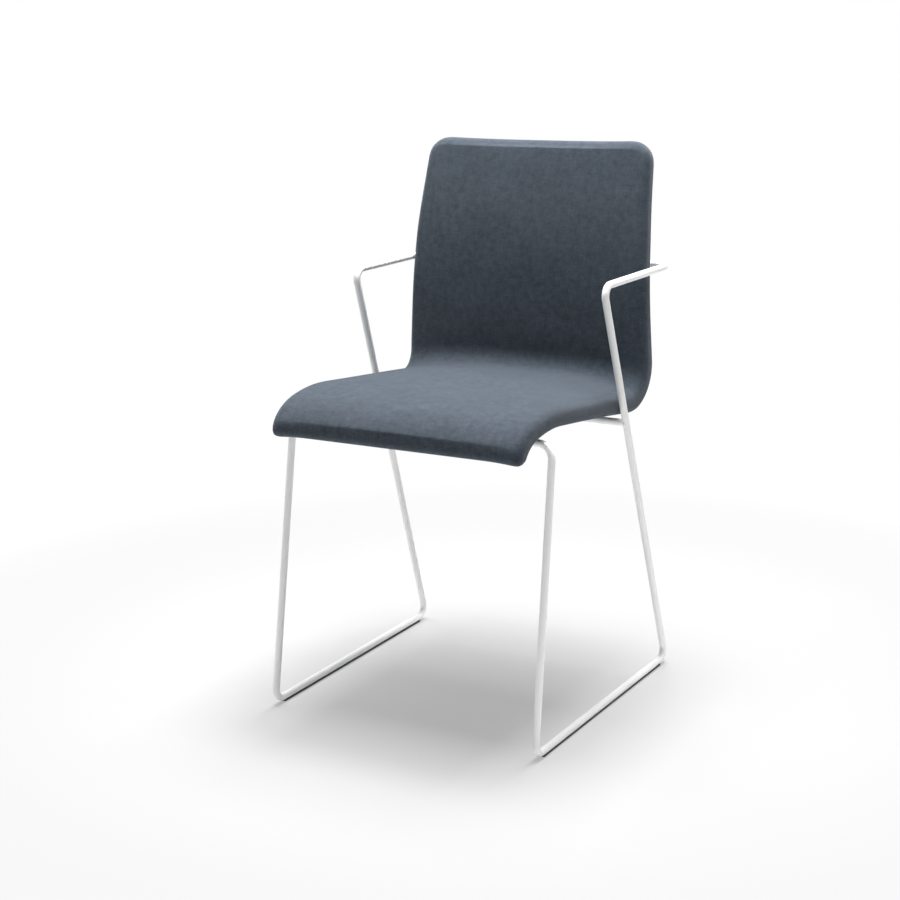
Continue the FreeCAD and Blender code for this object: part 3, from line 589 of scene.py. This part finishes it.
class Upholstery:
    """Padded cover of seat and back: two faces joined by rings round the edge"""

    def __init__(self):
        settings = shell_settings()
        self.side = SideLine()
        self.half = settings.thickness / MM / 2
        self.edge = settings.edge_radius / MM
        self.crown = settings.crown / MM
        self.fill = settings.seat_fill / MM
        self.roll = settings.top_roll / MM
        self.bridge = settings.bridge / MM
        self.rear_swell = settings.rear_swell / MM
        self.sag = settings.top_sag / MM
        self.droop = settings.corner_droop / MM
        self.front_corner = settings.front_corner / MM
        self.top_corner = settings.top_corner / MM
        self.seam_level = self.half - settings.seam_height / MM
        self.seam_depth = settings.seam_depth / MM
        self.softness = settings.softness / MM
        self.crease = settings.crease_depth / MM

    def ring_levels(self, rear):
        """Heights of the rings above the middle plane, with the seam's five on the rear"""
        arc_base = self.half - self.edge
        angles = REAR_ANGLES if rear else FRONT_ANGLES
        levels = [arc_base + self.edge * math.sin(math.radians(angle)) for angle in angles]
        if rear:
            levels += [self.seam_level + step for step in SEAM_STEPS]
            levels += [between(levels[-1], arc_base, share) for share in (0.4, 0.8)]
        levels += [arc_base * share for share in WALL_SHARES]
        return levels

    def edge_profile(self, level, end_share):
        """Distance in from the rim, and length of cloth from the flat, at a level"""
        side_base = self.half - self.edge
        if level > side_base:
            angle = math.asin(min(1.0, (level - side_base) / self.edge))
            side = (self.edge * (1 - math.cos(angle)), self.edge * (math.pi / 2 - angle))
        else:
            side = (0.0, self.edge * math.pi / 2 + side_base - level)
        angle = math.asin(min(1.0, level / self.half))
        end = (self.half * (1 - math.cos(angle)), self.half * (math.pi / 2 - angle))
        return [between(a, b, end_share) for a, b in zip(side, end)]

    def outline(self, gx, gy, inset):
        """Flat place on the rounded outline at an inset, and its share of the end's profile

        gx and gy are -0.5 to 0.5 across and along; one of them is at its limit.
        """
        length = self.side.length
        station = between(inset, length - inset, gy + 0.5)
        half_width = self.side.half_width(station) - inset
        x = 2 * gx * half_width
        corner = self.top_corner if gy > 0 else self.front_corner
        radius = max(corner - inset, 0.5)
        from_side = half_width - abs(x)
        from_end = min(station - inset, length - inset - station)
        toward_side = radius - from_side
        toward_end = radius - from_end
        if toward_side <= 0:
            return x, station, 1.0
        if toward_end <= 0:
            return x, station, 0.0
        scale = radius / math.hypot(toward_side, toward_end)
        side_sign = math.copysign(1, x)
        end_sign = math.copysign(1, gy)
        centre_x = side_sign * (half_width - radius)
        centre_s = station - end_sign * toward_end
        x = centre_x + side_sign * toward_side * scale
        station = centre_s + end_sign * toward_end * scale
        end_share = (toward_end * scale / radius) ** 2
        return x, station, end_share

    def flat_place(self, gx, gy, ring, rear):
        """Flat place (x, station, height) and the cloth's own flat coordinates"""
        if ring == 0:
            inset = INNER_INSET
            station = between(inset, self.side.length - inset, gy + 0.5)
            x = 2 * gx * (self.side.half_width(station) - inset)
            return x, station, self.half + self.rise(x, station), (x, station)
        if ring <= len(FLAT_SHARES):
            share = FLAT_SHARES[ring - 1]
            _, _, end_share = self.outline(gx, gy, self.edge)
            rim = between(self.edge, self.half, end_share)
            inset = between(INNER_INSET, rim, share)
            x, station, _ = self.outline(gx, gy, inset)
            height = self.half + self.rise(x, station)
            return x, station, height, (x, station)
        level = self.ring_levels(rear)[ring - len(FLAT_SHARES) - 1]
        _, _, end_share = self.outline(gx, gy, self.edge)
        inset, cloth = self.edge_profile(level, end_share)
        groove = 0.0
        if rear:
            groove = self.seam_depth * max(0.0, 1 - abs(level - self.seam_level) / SEAM_HALF_WIDTH)
        x, station, _ = self.outline(gx, gy, inset + groove)
        rim = between(self.edge, self.half, end_share)
        cloth_x, cloth_s, _ = self.outline(gx, gy, rim - cloth)
        return x, station, level, (cloth_x, cloth_s)

    def rise(self, x, station):
        """Crown of the padding over the flat, none at the edges"""
        width = self.side.half_width(station) - self.edge
        return self.crown * max(0.0, 1 - (x / width) ** 2)

    def bend(self, x, station, height, rear):
        """Place in the frame, in metres"""
        length = self.side.length
        near_top = max(0.0, 1 - (length - station) / SAG_REACH)
        near_lip = max(0.0, 1 - station / LIP_REACH)
        width = self.side.half_width(station)
        station -= self.sag * near_top ** 2 * max(0.0, 1 - abs(x / width) ** 3)
        station -= near_lip ** 2 * (1 + self.droop * max(0.0, 1 - (width - abs(x)) / CORNER_REACH) ** 2)
        base, normal = self.side.at(station)
        middle = between(self.side.bend_start, self.side.bend_end, 0.5)
        share = max(0.0, height) / self.half
        if rear:
            swell = bell(station - middle + SWELL_SHIFT, SWELL_BREADTH)
            offset = -height - self.rear_swell * swell * share
        else:
            offset = height + self.wrinkles(x, station, height)
            along = station - self.side.bend_end
            inward = max(0.0, 1 - abs(x / width) ** 3)
            breadth = BRIDGE_ABOVE if along > 0 else BRIDGE_BELOW
            offset += self.bridge * bell(along, breadth) * inward * share
            offset -= self.roll * max(0.0, 1 - (length - station) / ROLL_REACH) ** 2 * share
        place = base + normal * offset + Vector((x, 0, 0))
        if not rear:
            fill = smooth(station, FILL_START, self.side.bend_start)
            fill *= smooth(station, self.side.bend_end + FILL_PAST_BEND, self.side.bend_end)
            place.z += self.fill * fill * max(0.0, 1 - abs(x / width) ** 4) * share
        return place * MM

    def wrinkles(self, x, station, height):
        """Creases where the cloth turns up into the back, and soft unevenness"""
        if height < self.half - 0.01:
            return 0.0
        width = self.side.half_width(station) - self.edge
        from_edge = min(1.0, max(0.0, (width - abs(x)) / 25))
        uneven = noise.noise(Vector((x / 70, station / 60, 3.1))) * self.softness
        middle = between(self.side.bend_start, self.side.bend_end, 0.5)
        toward_side = (abs(x) / width) ** 2
        crease = 0.0
        for place, share, breadth in CREASES:
            drift = 5 * noise.noise(Vector((x / 90, place, 0.4)))
            distance = (station - middle - place - drift) / breadth
            crease -= share * bell(distance, 1)
        return (uneven + self.crease * crease * (0.25 + 0.75 * toward_side)) * from_edge

    def face(self, rear):
        """One face: a grid, then rings extruded from its edge down to the middle plane"""
        across = round(2 * (WIDTHS[0][1] - INNER_INSET) / GRID_PITCH)
        along = round((self.side.length - 2 * INNER_INSET) / GRID_PITCH)
        deselect_all()
        bpy.ops.mesh.primitive_grid_add(x_subdivisions=across, y_subdivisions=along, size=1)
        piece = bpy.context.object
        mesh = bmesh.new()
        mesh.from_mesh(piece.data)
        grid = mesh.verts.layers.float_vector.new("grid")
        for vertex in mesh.verts:
            vertex[grid] = (vertex.co.x, vertex.co.y, 0)
        rim = [edge for edge in mesh.edges if edge.is_boundary]
        rings = len(FLAT_SHARES) + len(self.ring_levels(rear))
        for ring in range(1, rings + 1):
            made = bmesh.ops.extrude_edge_only(mesh, edges=rim)
            for item in made["geom"]:
                if isinstance(item, bmesh.types.BMVert):
                    item[grid][2] = ring
            edges = [item for item in made["geom"] if isinstance(item, bmesh.types.BMEdge)]
            rim = [edge for edge in edges if edge.is_boundary]
        cloth = mesh.loops.layers.uv.new("Weave")
        flats = {}
        for vertex in mesh.verts:
            gx, gy, ring = vertex[grid]
            x, station, height, flat = self.flat_place(gx, gy, round(ring), rear)
            vertex.co = self.bend(x, station, height, rear)
            flats[vertex] = (flat[0] * MM, flat[1] * MM)
        for face in mesh.faces:
            for loop in face.loops:
                loop[cloth].uv = flats[loop.vert]
        if rear:
            bmesh.ops.reverse_faces(mesh, faces=mesh.faces)
        mesh.to_mesh(piece.data)
        mesh.free()
        return piece


def check_closed(piece):
    """Stop if an edge of the mesh has a face on one side only"""
    faces_at = {}
    for polygon in piece.data.polygons:
        for key in polygon.edge_keys:
            faces_at[key] = faces_at.get(key, 0) + 1
    loose = [key for key, count in faces_at.items() if count != 2]
    if loose:
        raise RuntimeError(f"{piece.name} has {len(loose)} edges without two faces")


def make_upholstery():
    shape = Upholstery()
    front = shape.face(rear=False)
    rear = shape.face(rear=True)
    deselect_all()
    rear.select_set(True)
    front.select_set(True)
    bpy.context.view_layer.objects.active = front
    bpy.ops.object.join()
    bpy.ops.object.mode_set(mode="EDIT")
    bpy.ops.mesh.select_all(action="SELECT")
    bpy.ops.mesh.remove_doubles(threshold=MERGE_DISTANCE)
    bpy.ops.mesh.normals_make_consistent(inside=False)
    bpy.ops.object.mode_set(mode="OBJECT")
    check_closed(front)
    apply_modifier(front, "SUBSURF", levels=1, render_levels=1)
    make_active(front)
    bpy.ops.object.shade_smooth()
    piece = finish_piece(front, "shell_upholstery", finish("fabric"))
    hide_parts("front_cover", "rear_cover", "front_foam", "rear_foam")


# Weld beads

BEAD_RING = 6.0 * MM
BEAD_THICKNESS = 1.5 * MM
BEAD_LIFT = 0.0002
BEAD_FLATNESS = 0.75
RIPPLE_HEIGHT = 0.00018
RIPPLE_COUNT = 26
LEG_RADIUS = 5.5 * MM
# Ends of a rear leg's middle line, before the shift to the frame's origin
LEG_LOW = (227.5, 456.0, 8.5)
LEG_HIGH = (214.5, 241.9, 644.5)
BEAD_HALF_SPACING = 213.6


def make_weld_bead(centre, leg_base, leg_direction, sign):
    """Rippled bead round an end of the rear cross rod, laid against the leg"""
    deselect_all()
    bpy.ops.mesh.primitive_torus_add(
        location=centre, rotation=(0, math.pi / 2, 0), major_segments=96, minor_segments=12,
        major_radius=BEAD_RING, minor_radius=BEAD_THICKNESS,
    )
    bpy.ops.object.transform_apply(location=True, rotation=True, scale=True)
    piece = bpy.context.object
    for vertex in piece.data.vertices:
        around = math.atan2(vertex.co.z - centre.z, vertex.co.y - centre.y)
        radial = Vector((0, math.cos(around), math.sin(around)))
        ripple = RIPPLE_HEIGHT * math.sin(around * RIPPLE_COUNT)
        vertex.co += radial * ripple
        nearest = leg_base + leg_direction * (vertex.co - leg_base).dot(leg_direction)
        away = vertex.co - nearest
        sideways = math.hypot(away.y, away.z)
        reach = math.sqrt(max(0.0, LEG_RADIUS ** 2 - min(sideways, LEG_RADIUS) ** 2))
        surface = nearest.x - sign * reach
        tube = vertex.co.x - centre.x
        vertex.co.x = surface - sign * BEAD_LIFT + tube * BEAD_FLATNESS
    return piece


def leg_point(place, sign):
    """A point on the leg of one side, in metres"""
    x, y, z = place
    return Vector((sign * x, y - origin_shift(), z)) * MM


def make_weld_beads():
    lo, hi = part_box("rear_cross_rod")
    y, z = (lo.y + hi.y) / 2, (lo.z + hi.z) / 2
    for hand, sign in (("left", -1), ("right", 1)):
        leg_low = leg_point(LEG_LOW, sign)
        direction = (leg_point(LEG_HIGH, sign) - leg_low).normalized()
        centre = Vector((sign * BEAD_HALF_SPACING * MM, y, z))
        bead = make_weld_bead(centre, leg_low, direction, sign)
        make_active(bead)
        bpy.ops.object.shade_smooth()
        finish_piece(bead, f"weld_bead_{hand}", finish("coat"))


# Finishes on the frame's own pieces


def dress_frame():
    """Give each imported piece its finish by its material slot"""
    slots = {entry["node"]: entry["material_slot"] for entry in frame["record"]["subparts"]}
    for name, piece in frame["nodes"].items():
        material = finish(SLOT_FINISHES[slots[name]])
        piece.data.materials.clear()
        piece.data.materials.append(material)


# Stage

# Camera from the middle of the front bends, in metres
CAMERA_PLACE = Vector((1.2861, -2.0475, 1.03675))
CAMERA_AZIMUTH = 30.21
CAMERA_ELEVATION = 14.08
CAMERA_ROLL = -0.972
SENSOR_WIDTH = 36.0
FLOOR_NEAR_SHARE = 0.65
FLOOR_NEAR_GLOW = 0.54
# Span in metres of the floor's ramps, and the places on them where they start and end
FLOOR_SPAN = 3.0
FLOOR_NEAR_PLACE = 0.12
FLOOR_FAR_PLACE = 0.4
FLOOR_SIZE = 14
LIGHT_HEIGHT = 2.4
LIGHT_SIDE = 0.9
LIGHT_BACK = 0.6
LIGHT_SIZE = 1.0
LIGHT_AIM = Vector((0, 0, 0.45))


def camera_axes():
    azimuth, elevation, roll = map(math.radians, (CAMERA_AZIMUTH, CAMERA_ELEVATION, CAMERA_ROLL))
    back = Vector((
        math.sin(azimuth) * math.cos(elevation),
        -math.cos(azimuth) * math.cos(elevation),
        math.sin(elevation),
    ))
    right = Vector((math.cos(azimuth), math.sin(azimuth), 0))
    up = back.cross(right)
    turned_right = right * math.cos(roll) + up * math.sin(roll)
    turned_up = up * math.cos(roll) - right * math.sin(roll)
    return turned_right, turned_up, back


def make_camera():
    data = bpy.data.cameras.new("view")
    camera = bpy.data.objects.new("view", data)
    bpy.context.scene.collection.objects.link(camera)
    right, up, back = camera_axes()
    turn = Matrix((right, up, back)).transposed().to_4x4()
    place = CAMERA_PLACE - Vector((0, origin_shift() * MM, 0))
    camera.matrix_world = Matrix.Translation(place) @ turn
    data.sensor_width = SENSOR_WIDTH
    data.lens = stage_settings().focal_length
    data.clip_start = 0.05
    data.clip_end = 60
    bpy.context.scene.camera = camera


def make_light(name, place, watts):
    """Square soft light aimed at the middle of the chair"""
    data = bpy.data.lights.new(name, "AREA")
    data.size = LIGHT_SIZE
    data.energy = watts
    light = bpy.data.objects.new(name, data)
    light.location = place
    light.rotation_euler = (LIGHT_AIM - Vector(place)).to_track_quat("-Z", "Y").to_euler()
    bpy.context.scene.collection.objects.link(light)


def white_stage_material():
    """White floor: a matt surface for the light, and partly its own white where the camera looks"""
    graph = Graph("white_floor")
    path = graph.node("ShaderNodeLightPath")
    seen = Wire(graph, path.outputs["Is Camera Ray"])
    for name in ("Is Glossy Ray", "Is Transmission Ray"):
        seen = seen.math("MAXIMUM", Wire(graph, path.outputs[name]))
    distance = graph.wire(
        "ShaderNodeVectorMath", {"operation": "LENGTH"}, output=1, input_0=graph.object_place()
    )
    away = distance / FLOOR_SPAN
    share = graph.ramp(away, [(FLOOR_NEAR_PLACE, FLOOR_NEAR_SHARE), (FLOOR_FAR_PLACE, 1.0)])
    glow = graph.ramp(away, [(FLOOR_NEAR_PLACE, FLOOR_NEAR_GLOW), (FLOOR_FAR_PLACE, 1.0)])
    diffuse = graph.node("ShaderNodeBsdfDiffuse", None, Color=(0.9, 0.9, 0.9))
    white = graph.node("ShaderNodeEmission", None, Color=glow, Strength=1.0)
    blend = graph.node("ShaderNodeMixShader", None, Fac=seen * share)
    graph.links.new(diffuse.outputs[0], blend.inputs[1])
    graph.links.new(white.outputs[0], blend.inputs[2])
    output = graph.node("ShaderNodeOutputMaterial")
    graph.links.new(blend.outputs[0], output.inputs[0])
    return graph.material


def make_world():
    world = bpy.data.worlds.new("studio")
    bpy.context.scene.world = world
    world.use_nodes = True
    tree = world.node_tree
    tree.nodes.clear()
    path = tree.nodes.new("ShaderNodeLightPath")
    either = tree.nodes.new("ShaderNodeMath")
    either.operation = "MAXIMUM"
    tree.links.new(path.outputs["Is Camera Ray"], either.inputs[0])
    tree.links.new(path.outputs["Is Glossy Ray"], either.inputs[1])
    ambient = tree.nodes.new("ShaderNodeBackground")
    ambient.inputs["Strength"].default_value = stage_settings().ambient
    white = tree.nodes.new("ShaderNodeBackground")
    white.inputs["Strength"].default_value = 1.0
    for background in (ambient, white):
        background.inputs["Color"].default_value = (1, 1, 1, 1)
    blend = tree.nodes.new("ShaderNodeMixShader")
    tree.links.new(either.outputs[0], blend.inputs[0])
    tree.links.new(ambient.outputs[0], blend.inputs[1])
    tree.links.new(white.outputs[0], blend.inputs[2])
    output = tree.nodes.new("ShaderNodeOutputWorld")
    tree.links.new(blend.outputs[0], output.inputs[0])


def make_stage():
    deselect_all()
    bpy.ops.mesh.primitive_plane_add(size=FLOOR_SIZE, location=(0, 0, 0))
    floor = bpy.context.object
    floor.name = "floor"
    floor.data.materials.append(white_stage_material())
    settings = stage_settings()
    make_light("overhead_light", (0, 0, LIGHT_HEIGHT), settings.overhead)
    make_light("rear_light", (0, LIGHT_BACK, LIGHT_HEIGHT), settings.rear)
    make_light("left_light", (-LIGHT_SIDE, 0, LIGHT_HEIGHT), settings.left)
    make_light("right_light", (LIGHT_SIDE, 0, LIGHT_HEIGHT), settings.right)
    make_world()
    make_camera()
    bpy.context.scene.view_settings.view_transform = "Standard"


# Operators and panel


class ChairOperator(bpy.types.Operator):
    """Shared by the chair's operators"""

    bl_options = {"REGISTER", "UNDO"}


class CHAIR_OT_upholstery(ChairOperator):
    """Make the padded cover of seat and back"""

    bl_idname = "chair.upholstery"
    bl_label = "Upholstery"

    def execute(self, context):
        make_upholstery()
        return {"FINISHED"}


class CHAIR_OT_weld_beads(ChairOperator):
    """Make the weld beads at the rear cross rod"""

    bl_idname = "chair.weld_beads"
    bl_label = "Weld Beads"

    def execute(self, context):
        make_weld_beads()
        return {"FINISHED"}


class CHAIR_OT_finishes(ChairOperator):
    """Give the frame's own pieces their finishes"""

    bl_idname = "chair.finishes"
    bl_label = "Finishes"

    def execute(self, context):
        dress_frame()
        return {"FINISHED"}


class CHAIR_OT_stage(ChairOperator):
    """Make the floor, lights and camera"""

    bl_idname = "chair.stage"
    bl_label = "Stage"

    def execute(self, context):
        make_stage()
        return {"FINISHED"}


OPERATORS = (CHAIR_OT_finishes, CHAIR_OT_upholstery, CHAIR_OT_weld_beads, CHAIR_OT_stage)
SETTINGS = {
    "chair_shell": ShellSettings,
    "chair_finish": FinishSettings,
    "chair_stage": StageSettings,
}


class CHAIR_PT_panel(bpy.types.Panel):
    """Lists the chair's sizes, finishes and operators"""

    bl_label = "Chair"
    bl_idname = "CHAIR_PT_panel"
    bl_space_type = "VIEW_3D"
    bl_region_type = "UI"
    bl_category = "Chair"

    def draw(self, context):
        for name in SETTINGS:
            box = self.layout.box()
            group = getattr(context.scene, name)
            for prop in group.__annotations__:
                box.prop(group, prop)
        for operator in OPERATORS:
            self.layout.operator(operator.bl_idname)


def register():
    for group in SETTINGS.values():
        bpy.utils.register_class(group)
    for operator in OPERATORS:
        bpy.utils.register_class(operator)
    bpy.utils.register_class(CHAIR_PT_panel)
    for name, group in SETTINGS.items():
        setattr(bpy.types.Scene, name, PointerProperty(type=group))


def unregister():
    for name in SETTINGS:
        delattr(bpy.types.Scene, name)
    bpy.utils.unregister_class(CHAIR_PT_panel)
    for operator in reversed(OPERATORS):
        bpy.utils.unregister_class(operator)
    for group in reversed(SETTINGS.values()):
        bpy.utils.unregister_class(group)


def main():
    register()
    bpy.ops.chair.finishes()
    bpy.ops.chair.upholstery()
    bpy.ops.chair.weld_beads()
    bpy.ops.chair.stage()


if __name__ == "__main__":
    main()
